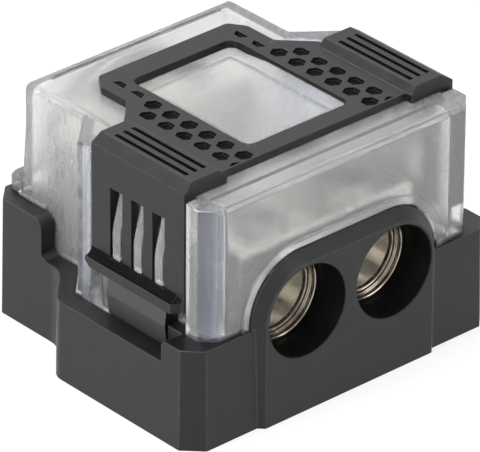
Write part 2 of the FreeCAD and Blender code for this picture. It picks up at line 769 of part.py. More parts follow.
def leg_slots():
    """Three tapered slots through the right-hand leg."""
    slots = []
    for i in range(SLOT_COUNT):
        middle = back(WINDOW_SLOT_FIRST_Y + i * WINDOW_SLOT_PITCH)
        top = WINDOW_SLOT_TOP_WIDTH / 2
        foot = WINDOW_SLOT_FOOT_WIDTH / 2
        slots.append(rail([
            (middle - top, WINDOW_SLOT_TOP, 0),
            (middle - foot, WINDOW_SLOT_FOOT, 0),
            (middle + foot, WINDOW_SLOT_FOOT, 0),
            (middle + top, WINDOW_SLOT_TOP, 0),
        ], COVER_HALF - LEG - OVER, COVER_HALF + OVER))
    return slots


def leg():
    """Right-hand leg with its finger tab and the tongue that reaches into the tray's rim."""
    inner = COVER_HALF - LEG
    panel = box((inner, COVER_HALF), (back(GRIP_FRONT), back(GRIP_REAR)),
                (LEG_FOOT_Z - TAB_THICK, GRIP_TOP - GRIP_BEVEL_OUT_DROP))
    tab_end = back(GRIP_REAR)
    tab = prism([
        (inner, back(TAB_FRONT), 0),
        (COVER_HALF, back(TAB_FRONT) - TAB_CORNER, 0),
        (COVER_HALF + TAB_OUT, back(TAB_FRONT), 0),
        (COVER_HALF + TAB_OUT, tab_end, 0),
        (inner, tab_end, 0),
    ], LEG_FOOT_Z - TAB_THICK, LEG_FOOT_Z)
    tab = tab.common(rail([
        (FRONT_Y, LEG_FOOT_Z - TAB_THICK, 0),
        (tab_end - TAB_END_BEVEL, LEG_FOOT_Z - TAB_THICK, 0),
        (tab_end, LEG_FOOT_Z - TAB_THICK + TAB_END_BEVEL, 0),
        (tab_end, LEG_FOOT_Z, 0),
        (FRONT_Y, LEG_FOOT_Z, 0),
    ], 0, REACH))
    cove = bar([
        (COVER_HALF - COVE_SINK, LEG_FOOT_Z - COVE_SINK, 0),
        (COVER_HALF + TAB_FILLET, LEG_FOOT_Z - COVE_SINK, 0),
        (COVER_HALF + TAB_FILLET, LEG_FOOT_Z, 0),
        (COVER_HALF, LEG_FOOT_Z, TAB_FILLET - ROUND_SHORT),
        (COVER_HALF, LEG_FOOT_Z + TAB_FILLET, 0),
        (COVER_HALF - COVE_SINK, LEG_FOOT_Z + TAB_FILLET, 0),
    ], back(TAB_FRONT), tab_end)
    tongue_foot = LEDGE_TOP + TONGUE_GAP
    tongue = bar([
        (inner, LEG_FOOT_Z, 0),
        (inner, tongue_foot, 0),
        (COVER_HALF, tongue_foot, LEG * TONGUE_FOOT_SHARE),
        (COVER_HALF + TONGUE_BULGE, TONGUE_WIDEST_Z, TONGUE_WIDEST_R),
        (COVER_HALF, LEG_FOOT_Z - TAB_THICK, 0),
        (COVER_HALF, LEG_FOOT_Z, 0),
    ], back(PILLAR_DEPTH) + COVER_FIT, back(TONGUE_REAR))
    body = panel.multiFuse([tab, cove, tongue])
    return body.cut(Part.Compound(leg_slots()))


def top_frame():
    """Black one-piece frame: honeycomb plate with a window, fluted grips and two legs."""
    plate = prism(plate_corners(), COVER_TOP, PLATE_TOP)
    window = prism(window_corners(0, WINDOW_R), COVER_TOP - OVER, PLATE_TOP + OVER)
    parts = both_sides(grip()) + both_sides(leg())
    body = plate.multiFuse(parts)
    cuts = [window]
    for slot in grip_slots() + honeycomb():
        cuts += both_sides(slot)
    return body.cut(Part.Compound(cuts)).removeSplitter()


def build():
    """Every piece of the object, by node name."""
    pieces = {
        "base_tray": tray(),
        "terminal_block": terminal_block(),
        "clear_cover": clear_cover(),
        "top_frame": top_frame(),
    }
    names = ["input_screw_left_front", "input_screw_left_rear",
             "input_screw_right_front", "input_screw_right_rear"]
    roof = FRONT_PORT_Z + BIG_BORE_R + SCREW_LIFT
    for name, (x, y) in zip(names, big_screw_places()):
        pieces[name] = set_screw(x, y, roof, BIG_SCREW_R, BIG_SCREW_LENGTH, BIG_SOCKET)
    names = ["output_screw_lower_left", "output_screw_lower_right",
             "output_screw_upper_left", "output_screw_upper_right"]
    for name, (x, y, roof) in zip(names, small_screw_places()):
        pieces[name] = set_screw(x, y, roof + SCREW_LIFT, SMALL_SCREW_R, SMALL_SCREW_LENGTH,
                                 SMALL_SOCKET)
    for name, (x, y) in zip(["block_fixing_screw_front", "block_fixing_screw_rear"],
                            fixing_places()):
        pieces[name] = fixing_screw(x, y)
    return pieces


os.makedirs("parts", exist_ok=True)
for node, shape in build().items():
    shape.exportStep("parts/" + node + ".step")
    print(node, "solids", len(shape.Solids), "valid", shape.isValid(), "volume", round(shape.Volume))
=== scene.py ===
"""Looks of a power distribution block: a black tray and top frame, a clear grained cover and,
inside it, a plated terminal block with eight clamping screws.

Everything is in metres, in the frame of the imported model: +X to the right seen from the two
large ports, +Y back, +Z up, with the origin under the middle of the tray.
"""
from __future__ import annotations

import json
import logging
import math
from dataclasses import dataclass
from enum import Enum
from functools import cache

import bmesh
import bpy
import numpy as np
from bmesh.types import BMEdge, BMesh
from bpy.types import Material, Mesh, Node, NodeSocket, NodeTree, Object
from mathutils import Matrix, Vector

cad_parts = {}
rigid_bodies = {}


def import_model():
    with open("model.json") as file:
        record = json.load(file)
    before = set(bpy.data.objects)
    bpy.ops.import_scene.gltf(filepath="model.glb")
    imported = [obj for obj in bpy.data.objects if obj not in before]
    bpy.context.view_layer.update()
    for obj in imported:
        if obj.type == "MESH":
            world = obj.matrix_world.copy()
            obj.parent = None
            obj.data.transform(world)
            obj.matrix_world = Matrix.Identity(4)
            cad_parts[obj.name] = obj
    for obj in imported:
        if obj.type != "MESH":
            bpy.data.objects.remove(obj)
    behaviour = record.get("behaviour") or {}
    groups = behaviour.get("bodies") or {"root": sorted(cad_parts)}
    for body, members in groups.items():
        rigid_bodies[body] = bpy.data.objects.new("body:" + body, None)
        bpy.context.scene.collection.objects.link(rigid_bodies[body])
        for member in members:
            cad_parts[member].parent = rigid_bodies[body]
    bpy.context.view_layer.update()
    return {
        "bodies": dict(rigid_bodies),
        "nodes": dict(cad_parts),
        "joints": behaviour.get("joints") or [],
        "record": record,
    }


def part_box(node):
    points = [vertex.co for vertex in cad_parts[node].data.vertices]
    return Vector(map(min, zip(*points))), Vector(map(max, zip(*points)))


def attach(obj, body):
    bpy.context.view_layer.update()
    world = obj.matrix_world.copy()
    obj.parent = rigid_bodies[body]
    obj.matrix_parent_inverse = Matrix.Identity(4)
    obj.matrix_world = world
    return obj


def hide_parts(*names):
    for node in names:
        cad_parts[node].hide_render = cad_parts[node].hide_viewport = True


LOG = logging.getLogger("distribution_block")
MM = 0.001
TURN = 2 * math.pi
WELD_DISTANCE = 0.002 * MM
FLAT_ANGLE = math.radians(0.4)
SMOOTH_ANGLE = math.radians(32)
ALONG_SHARE = 0.95
PORT_X = 8.93 * MM
PORT_Z = 17.7 * MM
EDGE_ATTRIBUTE = "rounded_edge"
BORE_ATTRIBUTE = "bore"
SHADE_ATTRIBUTE = "matt"
TONGUE_SHEEN_ATTRIBUTE = "rubbed"

Colour = tuple[float, float, float, float]
Point = tuple[float, float, float]
Span = tuple[float, float]


class Body(Enum):
    """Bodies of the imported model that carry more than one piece."""

    BASE = "base"
    COVER = "cover"


class Slot(Enum):
    """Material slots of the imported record."""

    TRAY = "tray_plastic"
    FRAME = "frame_plastic"
    CLEAR = "clear_plastic"
    PLATED = "plated_metal"
    STEEL = "screw_steel"


class Maths(Enum):
    """Operations of the maths nodes."""

    ADD = "ADD"
    SUBTRACT = "SUBTRACT"
    MULTIPLY = "MULTIPLY"
    LARGER = "MAXIMUM"
    SIZE = "ABSOLUTE"


# Shader trees

class Shader:
    """A material's node tree with short calls for adding and joining nodes."""

    def __init__(self, tree: NodeTree) -> None:
        """Takes over a tree and empties it."""
        self.tree = tree
        tree.nodes.clear()

    def add(self, kind: str, **settings: object) -> Node:
        """Adds a node.

        Args:
            kind: the node's class name.
            settings: properties to set on it by name.

        Returns:
            The new node.
        """
        node = self.tree.nodes.new(kind)
        for name, value in settings.items():
            setattr(node, name, value)
        return node

    def join(self, source: NodeSocket, target: NodeSocket) -> None:
        """Links an output socket to an input socket."""
        self.tree.links.new(source, target)

    def feed(self, given: object, socket: NodeSocket) -> None:
        """Puts a number or colour on a socket, or links an output socket to it.

        Args:
            given: a number, a colour or an output socket.
            socket: the input socket that takes it.
        """
        if isinstance(given, NodeSocket):
            self.join(given, socket)
        else:
            socket.default_value = given

    def value(self, operation: Maths, first: object, second: object = 0.0,
              clamp: bool = False) -> NodeSocket:
        """Adds a maths node.

        Args:
            operation: what it does.
            first: a number or an output socket.
            second: a number or an output socket.
            clamp: whether the result is kept between 0 and 1.

        Returns:
            The result's socket.
        """
        node = self.add("ShaderNodeMath", operation=operation.value, use_clamp=clamp)
        for socket, given in zip(node.inputs, (first, second)):
            self.feed(given, socket)
        return node.outputs[0]

    def ramp(self, source: NodeSocket, low: float, high: float,
             to_low: float = 0.0, to_high: float = 1.0) -> NodeSocket:
        """Maps a range of values to another with smooth ends.

        Args:
            source: the value to map.
            low: value that gives to_low.
            high: value that gives to_high.
            to_low: result at and below low.
            to_high: result at and above high.

        Returns:
            The mapped value's socket.
        """
        node = self.add("ShaderNodeMapRange", interpolation_type="SMOOTHSTEP")
        self.join(source, node.inputs["Value"])
        for name, number in (("From Min", low), ("From Max", high),
                             ("To Min", to_low), ("To Max", to_high)):
            node.inputs[name].default_value = number
        return node.outputs["Result"]

    def blend(self, factor: object, first: object, second: object) -> NodeSocket:
        """Mixes two colours.

        Args:
            factor: share of the second colour, a number or an output socket.
            first: a colour or an output socket.
            second: a colour or an output socket.

        Returns:
            The mixed colour's socket.
        """
        node = self.add("ShaderNodeMix", data_type="RGBA")
        for name, given in (("Factor", factor), ("A", first), ("B", second)):
            self.feed(given, node.inputs[name])
        return node.outputs["Result"]

    def noise(self, place: NodeSocket, scale: object, detail: float,
              roughness: float) -> NodeSocket:
        """Adds a noise texture.

        Args:
            place: the coordinates that it reads.
            scale: how many features there are in a metre, a number or an output socket.
            detail: how many finer layers are added.
            roughness: strength of the finer layers.

        Returns:
            The noise value's socket.
        """
        node = self.add("ShaderNodeTexNoise")
        self.join(place, node.inputs["Vector"])
        self.feed(scale, node.inputs["Scale"])
        node.inputs["Detail"].default_value = detail
        node.inputs["Roughness"].default_value = roughness
        return node.outputs["Fac"]

    def place(self) -> NodeSocket:
        """Coordinates in the object's own frame."""
        return self.add("ShaderNodeTexCoord").outputs["Object"]

    def attribute(self, name: str) -> NodeSocket:
        """Number that the mesh holds under a name."""
        return self.add("ShaderNodeAttribute", attribute_name=name).outputs["Fac"]

    def facing(self) -> Node:
        """Splits the face's own normal.

        Returns:
            A node with the normal's outputs X, Y and Z.
        """
        node = self.add("ShaderNodeSeparateXYZ")
        self.join(self.add("ShaderNodeNewGeometry").outputs["True Normal"], node.inputs["Vector"])
        return node


def colour(red: float, green: float, blue: float) -> Colour:
    """Opaque linear colour."""
    return (red, green, blue, 1.0)


class SurfaceEffects:
    """Node groups of the finishes' effects, each built once.

    A noise is its finer layers and their strength, a span the values between which a mask rises.
    """

    FINE_NOISE: Span = (2.0, 0.6)
    COARSE_NOISE: Span = (3.0, 0.55)
    PATCH_NOISE: Span = (3.0, 0.6)
    PATCH_SPAN: Span = (0.3, 0.7)
    PATCH_MASK: Span = (0.4, 1.0)
    CORNER_SPAN: Span = (0.22, 0.45)
    STREAK_DRAW: Point = (1.0, 1.0, 0.06)
    STREAK_SCALE: float = 420.0
    STREAK_NOISE: Span = (2.0, 0.5)
    STREAK_SPAN: Span = (0.42, 0.72)
    SIDE_SPAN: Span = (0.7, 0.95)

    @staticmethod
    def _open(name: str, outputs: tuple[str, ...],
              inputs: tuple[str, ...]) -> tuple[NodeTree, Shader, Node, Node]:
        """Makes an empty group with named number sockets.

        Args:
            name: the group's name.
            outputs: name of each number that it puts out.
            inputs: name of each number that it takes.

        Returns:
            The group, the calls that fill it, and the nodes of its inputs and its outputs.
        """
        group = bpy.data.node_groups.new(name, "ShaderNodeTree")
        for way, sockets in (("INPUT", inputs), ("OUTPUT", outputs)):
            for socket in sockets:
                group.interface.new_socket(socket, in_out=way, socket_type="NodeSocketFloat")
        shader = Shader(group)
        return group, shader, shader.add("NodeGroupInput"), shader.add("NodeGroupOutput")

    @classmethod
    @cache
    def grain(cls) -> NodeTree:
        """Mould grain: a fine noise for its relief and a coarse one for what varies slowly.

        Returns:
            The group, with outputs Height and Mottle.
        """
        group, shader, taken, given = cls._open("mould_grain", ("Height", "Mottle"),
                                                ("Grain Scale", "Mottle Scale"))
        place = shader.place()
        fine = shader.noise(place, taken.outputs["Grain Scale"], *cls.FINE_NOISE)
        coarse = shader.noise(place, taken.outputs["Mottle Scale"], *cls.COARSE_NOISE)
        shader.join(fine, given.inputs["Height"])
        shader.join(coarse, given.inputs["Mottle"])
        return group

    @classmethod
    @cache
    def rubbed_edges(cls) -> NodeTree:
        """Wear and painted light on edges: the rounded-edge attribute, broken up by noise.

        Returns:
            The group, with the output Mask.
        """
        group, shader, taken, given = cls._open("rubbed_edges", ("Mask",), ("Patch Scale", "Cover"))
        patches = shader.noise(shader.place(), taken.outputs["Patch Scale"], *cls.PATCH_NOISE)
        broken = shader.ramp(patches, *cls.PATCH_SPAN, *cls.PATCH_MASK)
        strength = shader.value(Maths.MULTIPLY, broken, taken.outputs["Cover"])
        shader.join(shader.value(Maths.MULTIPLY, shader.attribute(EDGE_ATTRIBUTE), strength,
                                 clamp=True), given.inputs["Mask"])
        return group

    @classmethod
    @cache
    def turned_corners(cls) -> NodeTree:
        """Upright faces that stand halfway between the sides and the ends.

        The mask rises with the size of the product of the normal's X and Y.

        Returns:
            The group, with the output Mask.
        """
        group, shader, taken, given = cls._open("turned_corners", ("Mask",), ("Cover",))
        facing = shader.facing()
        both = shader.value(Maths.MULTIPLY, facing.outputs["X"], facing.outputs["Y"])
        turned = shader.ramp(shader.value(Maths.SIZE, both), *cls.CORNER_SPAN)
        shader.join(shader.value(Maths.MULTIPLY, turned, taken.outputs["Cover"]),
                    given.inputs["Mask"])
        return group

    @classmethod
    @cache
    def flow_streaks(cls) -> NodeTree:
        """Faint upright flow streaks on the side walls, from noise drawn out along Z.

        Returns:
            The group, with the output Mask.
        """
        group, shader, taken, given = cls._open("flow_streaks", ("Mask",), ("Cover",))
        drawn = shader.add("ShaderNodeVectorMath", operation=Maths.MULTIPLY.value)
        shader.join(shader.place(), drawn.inputs[0])
        drawn.inputs[1].default_value = cls.STREAK_DRAW
        noise = shader.noise(drawn.outputs["Vector"], cls.STREAK_SCALE, *cls.STREAK_NOISE)
        streaks = shader.ramp(noise, *cls.STREAK_SPAN)
        sideways = shader.value(Maths.SIZE, shader.facing().outputs["X"])
        strength = shader.value(Maths.MULTIPLY, shader.ramp(sideways, *cls.SIDE_SPAN),
                                taken.outputs["Cover"])
        shader.join(shader.value(Maths.MULTIPLY, streaks, strength), given.inputs["Mask"])
        return group


@dataclass(frozen=True)
class Finish:
    """What every finish has: a name, the record's slot that it belongs to, grain and gloss."""

    name: str
    slot: Slot
    grain_scale: float = 4600.0
    mottle_scale: float = 260.0
    relief: float = 0.03 * MM
    relief_strength: float = 0.5
    gloss: Span = (0.34, 0.46)
    gloss_span: Span = (0.3, 0.7)

    def start(self) -> tuple[Material, Shader, Node]:
        """Makes the material with its shader linked to its output.

        Returns:
            The material, its tree and its principled shader.
        """
        material = bpy.data.materials.new(self.name)
        material.use_nodes = True
        shader = Shader(material.node_tree)
        surface = shader.add("ShaderNodeBsdfPrincipled")
        output = shader.add("ShaderNodeOutputMaterial")
        shader.join(surface.outputs["BSDF"], output.inputs["Surface"])
        return material, shader, surface

    def group(self, shader: Shader, tree: NodeTree, **values: float) -> Node:
        """Places a shared effect with this finish's own values.

        Args:
            shader: the tree that the effect goes into.
            tree: the effect's node group.
            values: numbers for its inputs, with _ for each space.

        Returns:
            The group's node.
        """
        node = shader.add("ShaderNodeGroup", node_tree=tree)
        for name, value in values.items():
            node.inputs[name.replace("_", " ")].default_value = value
        return node

    def grained(self, shader: Shader, surface: Node) -> Node:
        """Gives a surface the finish's grain as relief.

        Args:
            shader: the tree that holds it.
            surface: the principled shader.

        Returns:
            The grain's node.
        """
        grain = self.group(shader, SurfaceEffects.grain(), Grain_Scale=self.grain_scale,
                           Mottle_Scale=self.mottle_scale)
        bump = shader.add("ShaderNodeBump")
        bump.inputs["Distance"].default_value = self.relief
        bump.inputs["Strength"].default_value = self.relief_strength
        shader.join(grain.outputs["Height"], bump.inputs["Height"])
        shader.join(bump.outputs["Normal"], surface.inputs["Normal"])
        return grain

    def roughness(self, shader: Shader, grain: Node) -> NodeSocket:
        """Roughness that varies with the grain's slow noise."""
        return shader.ramp(grain.outputs["Mottle"], *self.gloss_span, *self.gloss)


@dataclass(frozen=True)
class BlackPlastic(Finish):
    """Black moulded plastic, finely grained, with paler edges of wear and painted highlight."""

    shade: Colour = colour(0.0042, 0.0042, 0.0046)
    mottle_gain: float = 1.35
    mottle_span: Span = (0.35, 0.7)
    wear_and_highlight: Colour = colour(0.045, 0.045, 0.048)
    tongue_sheen_strength: float = 0.8
    edge_scale: float = 700.0
    edge_cover: float = 1.2
    reflection: float = 0.405
    shade_loss: float = 0.37

    def build(self) -> Material:
        """Builds the material: black, with wear and painted highlight paler, painted shade darker.

        Returns:
            The material.
        """
        material, shader, surface = self.start()
        grain = self.grained(shader, surface)
        # Painted highlight with wear: rounded edges are made paler, for the light that they catch
        # and for wear.
        edges = self.group(shader, SurfaceEffects.rubbed_edges(), Patch_Scale=self.edge_scale,
                           Cover=self.edge_cover)
        mottle = shader.ramp(grain.outputs["Mottle"], *self.mottle_span)
        paler = colour(*(self.mottle_gain * part for part in self.shade[:3]))
        body = shader.blend(mottle, self.shade, paler)
        # Painted highlight: the frame's tongues are made paler, for the sheen that they show.
        rubbed = shader.value(Maths.MULTIPLY, shader.attribute(TONGUE_SHEEN_ATTRIBUTE), self.tongue_sheen_strength)
        wear_and_highlight = shader.value(Maths.LARGER, edges.outputs["Mask"], rubbed)
        shader.join(shader.blend(wear_and_highlight, body, self.wear_and_highlight), surface.inputs["Base Color"])
        shader.join(self.roughness(shader, grain), surface.inputs["Roughness"])
        # Painted shade: marked faces lose most of their sheen, so coves, pockets and ports look
        # dark as in shade.
        lost = shader.value(Maths.MULTIPLY, shader.attribute(SHADE_ATTRIBUTE), self.shade_loss)
        shader.join(shader.value(Maths.SUBTRACT, self.reflection, lost),
                    surface.inputs["Specular IOR Level"])
        return material


@dataclass(frozen=True)
class ClearPlastic(Finish):
    """Clear moulding with a grain that scatters what stands behind it."""

    grain_scale: float = 5600.0
    mottle_scale: float = 140.0
    relief_strength: float = 0.6
    gloss: Span = (0.16, 0.26)
    shade: Colour = colour(0.988, 0.994, 0.998)
    speck: Colour = colour(0.74, 0.74, 0.75)
    speck_span: Span = (0.47, 0.57)
    painted_corner_reflection: Colour = colour(0.42, 0.46, 0.60)
    corner_cover: float = 0.75
    corner_gloss: float = 0.06
    painted_edge_shade: Colour = colour(0.15, 0.18, 0.29)
    edge_scale: float = 300.0
    edge_cover: float = 1.3
    streak_cover: float = 0.7
    streak_gloss: float = 0.22
    transmission: float = 0.88
    refraction: float = 1.49

    def build(self) -> Material:
        """Builds the material: specked, clear, painted reflection at its corners, painted shade at
        its edges.

        Returns:
            The material.
        """
        material, shader, surface = self.start()
        grain = self.grained(shader, surface)
        edges = self.group(shader, SurfaceEffects.rubbed_edges(), Patch_Scale=self.edge_scale,
                           Cover=self.edge_cover)
        corners = self.group(shader, SurfaceEffects.turned_corners(), Cover=self.corner_cover)
        streaks = self.group(shader, SurfaceEffects.flow_streaks(), Cover=self.streak_cover)
        specks = shader.ramp(grain.outputs["Height"], *self.speck_span)
        body = shader.blend(specks, self.shade, self.speck)
        # Painted reflection: upright corner faces take a cool blue tint, by the way that they face.
        turned = shader.blend(corners.outputs["Mask"], body, self.painted_corner_reflection)
        # Painted shade: rounded edges and the lengthwise strips take a dark blue tint.
        shader.join(shader.blend(edges.outputs["Mask"], turned, self.painted_edge_shade),
                    surface.inputs["Base Color"])
        hazed = shader.value(Maths.MULTIPLY, streaks.outputs["Mask"], self.streak_gloss)
        rough = shader.value(Maths.ADD, self.roughness(shader, grain), hazed)
        polished = shader.value(Maths.MULTIPLY, corners.outputs["Mask"], self.corner_gloss)
        shader.join(shader.value(Maths.SUBTRACT, rough, polished), surface.inputs["Roughness"])
        surface.inputs["Transmission Weight"].default_value = self.transmission
        surface.inputs["IOR"].default_value = self.refraction
        return material


@dataclass(frozen=True)
class Metal(Finish):
    """Bare or plated metal, dull in patches, with painted light inside its bores."""

    grain_scale: float = 2600.0
    mottle_scale: float = 220.0
    relief: float = 0.01 * MM
    relief_strength: float = 0.3
    gloss: Span = (0.16, 0.32)
    shade: Colour = colour(0.90, 0.86, 0.79)
    dull: Colour = colour(0.60, 0.55, 0.47)
    dull_span: Span = (0.4, 0.75)
    painted_bore_light: Colour = colour(0.99, 0.965, 0.91)
    bore_gloss: float = 0.13

    def build(self) -> Material:
        """Builds the material.

        Returns:
            The material.
        """
        material, shader, surface = self.start()
        grain = self.grained(shader, surface)
        bore = shader.attribute(BORE_ATTRIBUTE)
        body = shader.blend(shader.ramp(grain.outputs["Mottle"], *self.dull_span), self.shade,
                            self.dull)
        # Painted light: bore walls take a near-white colour, for the light that enters them.
        shader.join(shader.blend(bore, body, self.painted_bore_light), surface.inputs["Base Color"])
        least = shader.value(Maths.MULTIPLY, bore, self.bore_gloss)
        shader.join(shader.value(Maths.LARGER, self.roughness(shader, grain), least),
                    surface.inputs["Roughness"])
        surface.inputs["Metallic"].default_value = 1.0
        return material


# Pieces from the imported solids

def place_object(name: str, data: bpy.types.ID) -> Object:
    """Links a new object with its mesh, lamp or camera to the scene.

    Args:
        name: the object's name.
        data: its mesh, lamp or camera.

    Returns:
        The object.
    """
    made = bpy.data.objects.new(name, data)
    bpy.context.scene.collection.objects.link(made)
    return made


def show(name: str, mesh: Mesh, material: Material, body: str, slot: Slot, *nodes: str) -> Object:
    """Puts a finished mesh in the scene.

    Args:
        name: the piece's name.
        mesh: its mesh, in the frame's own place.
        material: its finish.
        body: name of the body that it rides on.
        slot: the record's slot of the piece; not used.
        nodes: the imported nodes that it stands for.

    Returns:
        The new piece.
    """
    mesh.materials.append(material)
    mesh.shade_smooth()
    mesh.set_sharp_from_angle(angle=SMOOTH_ANGLE)
    piece = place_object(name, mesh)
    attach(piece, body)
    if nodes:
        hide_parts(*nodes)
    LOG.info("%s: %d faces", name, len(mesh.polygons))
    return piece


def mark_faces(mesh: Mesh, name: str, values: np.ndarray) -> None:
    """Writes one number or truth value for each face, for the finish to read."""
    layer = mesh.attributes.new(name, "FLOAT", "FACE")
    layer.data.foreach_set("value", values.astype(np.float32))


def face_data(mesh: Mesh, name: str) -> np.ndarray:
    """Reads what each face of a mesh has.

    Args:
        mesh: the mesh.
        name: center or normal.

    Returns:
        One row of X, Y and Z for each face.
    """
    values = np.empty(3 * len(mesh.polygons))
    mesh.polygons.foreach_get(name, values)
    return values.reshape(-1, 3)


@dataclass(frozen=True)
class EdgeRule:
    """A wider rounding for the edges in one region that run along one axis.

    The region's corners are in millimetres, and its X is a distance from the middle.
    """

    low: Point
    high: Point
    axis: int
    width: float
    segments: int = 3
    mark: float = 1.0

    def takes(self, edge: BMEdge) -> bool:
        """Tells whether an edge is one of the rule's.

        Args:
            edge: an edge of the solid.

        Returns:
            Whether it lies in the region, on either side, and runs along the axis.
        """
        first, second = (vertex.co for vertex in edge.verts)
        run = second - first
        if run.length < WELD_DISTANCE or abs(run[self.axis]) < ALONG_SHARE * run.length:
            return False
        middle = (first + second) / (2 * MM)
        middle.x = abs(middle.x)
        return all(low <= at <= high for low, at, high in zip(self.low, middle, self.high))


@dataclass
class RoundedSolid:
    """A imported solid, welded and with its sharp edges rounded."""

    node: str
    name: str
    body: Body
    width: float
    rules: tuple[EdgeRule, ...] = ()
    segments: int = 2
    sharp: float = math.radians(28)
    edge_mark: float = 0.45

    def welded(self, source: Object) -> BMesh:
        """Joins the solid's loose triangles and clears the lines across its flat faces.

        Args:
            source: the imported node.

        Returns:
            The welded mesh.
        """
        work = bmesh.new()
        work.from_mesh(source.data)
        bmesh.ops.remove_doubles(work, verts=work.verts, dist=WELD_DISTANCE)
        bmesh.ops.dissolve_limit(work, angle_limit=FLAT_ANGLE, use_dissolve_boundaries=False,
                                 verts=work.verts, edges=work.edges, delimit=set())
        return work

    def shape(self, work: BMesh) -> None:
        """Changes the welded form before its edges are rounded. A plain solid has no change."""

    def mark(self, mesh: Mesh) -> None:
        """Adds what the finish reads from the mesh. A plain solid has nothing to add."""

    def sharp_edges(self, work: BMesh) -> list[BMEdge]:
        """Edges between two faces that turn more than the sharp angle."""
        return [edge for edge in work.edges
                if len(edge.link_faces) == 2 and edge.calc_face_angle() > self.sharp]

    def bevel(self, work: BMesh, edges: list[BMEdge], width: float,
              segments: int, mark: float) -> None:
        """Rounds edges and marks the new faces.

        Args:
            work: the mesh.
            edges: the edges to round.
            width: how far the rounding reaches from each edge.
            segments: how many strips it has.
            mark: how strongly the finish shows the rounding.
        """
        made = bmesh.ops.bevel(work, geom=edges, offset=width, offset_type="OFFSET",
                               segments=segments, profile=0.5, affect="EDGES",
                               clamp_overlap=False)
        layer = work.faces.layers.float[EDGE_ATTRIBUTE]
        for face in made["faces"]:
            face[layer] = mark

    def round_edges(self, work: BMesh) -> None:
        """Rounds the rules' edges by their own widths, then every edge that is still sharp.

        Args:
            work: the mesh.
        """
        work.faces.layers.float.new(EDGE_ATTRIBUTE)
        for rule in self.rules:
            chosen = [edge for edge in self.sharp_edges(work) if rule.takes(edge)]
            LOG.info("%s: %d edges rounded by %.2f mm", self.name, len(chosen), rule.width / MM)
            if chosen:
                self.bevel(work, chosen, rule.width, rule.segments, rule.mark)
        self.bevel(work, self.sharp_edges(work), self.width, self.segments, self.edge_mark)

    def build(self, frame: dict, material: Material, slot: Slot) -> None:
        """Makes the piece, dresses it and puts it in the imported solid's place.

        Args:
            frame: the loaded frame.
            material: the piece's finish.
            slot: the record's slot that it belongs to.
        """
        work = self.welded(frame["nodes"][self.node])
        self.shape(work)
        self.round_edges(work)
        bmesh.ops.triangulate(work, faces=[face for face in work.faces if len(face.verts) > 4])
        mesh = bpy.data.meshes.new(self.name)
        work.to_mesh(mesh)
        work.free()
        self.mark(mesh)
        piece = show(self.name, mesh, material, self.body.value, slot, self.node)
        piece.modifiers.new("face_normals", "WEIGHTED_NORMAL").keep_sharp = True


@dataclass
class CoverMoulding(RoundedSolid):
    """Clear cover with its back corners rounded as by a ball."""

    edge_mark: float = 0.2
    round_r: float = 1.7 * MM
    half_width: float = 21.35 * MM
    top: float = 40.3 * MM
    rear: float = 23.75 * MM
    front_limit: float = 6.0 * MM
    low_limit: float = 24.5 * MM
    steps: int = 5
    shoulder: Span = (2.2 * MM, 4.2 * MM)
    shoulder_side: float = 26.6 * MM
    sideways: float = 0.5

    def shape(self, work: BMesh) -> None:
        """Cuts lines beside the back's edges, then draws what stands proud onto the rounding.

        A point's depths inside the side, top and rear planes are taken from the radius. Where
        the vector of what is left is longer than the radius, it is cut to the radius, so edges
        become quarter rounds and corners become parts of a ball.

        Args:
            work: the welded cover.
        """
        bmesh.ops.bisect_plane(work, geom=[*work.verts, *work.edges, *work.faces],
                               plane_co=(0, self.shoulder[0], 0), plane_no=(0, 1, 0),
                               dist=WELD_DISTANCE)
        planes = []
        for step in range(1, self.steps + 1):
            cut = self.round_r * (1 - math.cos(step * TURN / 4 / self.steps))
            planes += [((self.half_width - cut, 0, 0), (1, 0, 0)),
                       ((cut - self.half_width, 0, 0), (1, 0, 0)),
                       ((0, self.rear - cut, 0), (0, 1, 0)),
                       ((0, 0, self.top - cut), (0, 0, 1))]
        for place, facing in planes:
            near = [v for v in work.verts if v.co.z > self.low_limit - self.round_r]
            faces = {f for v in near for f in v.link_faces if f.calc_center_median().y > 0}
            edges = {e for f in faces for e in f.edges}
            bmesh.ops.bisect_plane(work, geom=[*faces, *edges], plane_co=place,
                                   plane_no=facing, dist=WELD_DISTANCE)
        for vertex in work.verts:
            at = vertex.co
            if at.z < self.low_limit or at.y < self.front_limit:
                continue
            proud = Vector((self.round_r - (self.half_width - abs(at.x)),
                            self.round_r - (self.rear - at.y),
                            self.round_r - (self.top - at.z)))
            proud = Vector(max(0.0, part) for part in proud)
            if proud.length > self.round_r:
                moved = proud * (self.round_r / proud.length)
                at.x = math.copysign(abs(at.x) + moved.x - proud.x, at.x)
                at.y += moved.y - proud.y
                at.z += moved.z - proud.z

    def mark(self, mesh: Mesh) -> None:
        """Marks the strips beside the shoulders, where the plastic is seen lengthwise.

        Args:
            mesh: the cover's mesh.
        """
        side, depth, _ = face_data(mesh, "center").T
        # Painted shade: these strips take the dark blue edge tint with the rounded edges.
        strips = ((np.abs(side) > self.shoulder_side) & (depth > self.shoulder[0])
                  & (depth < self.shoulder[1])
                  & (np.abs(face_data(mesh, "normal")[:, 0]) > self.sideways))
        edges = np.empty(len(mesh.polygons), dtype=np.float32)
        layer = mesh.attributes[EDGE_ATTRIBUTE].data
        layer.foreach_get("value", edges)
        layer.foreach_set("value", np.maximum(edges, strips.astype(np.float32)))


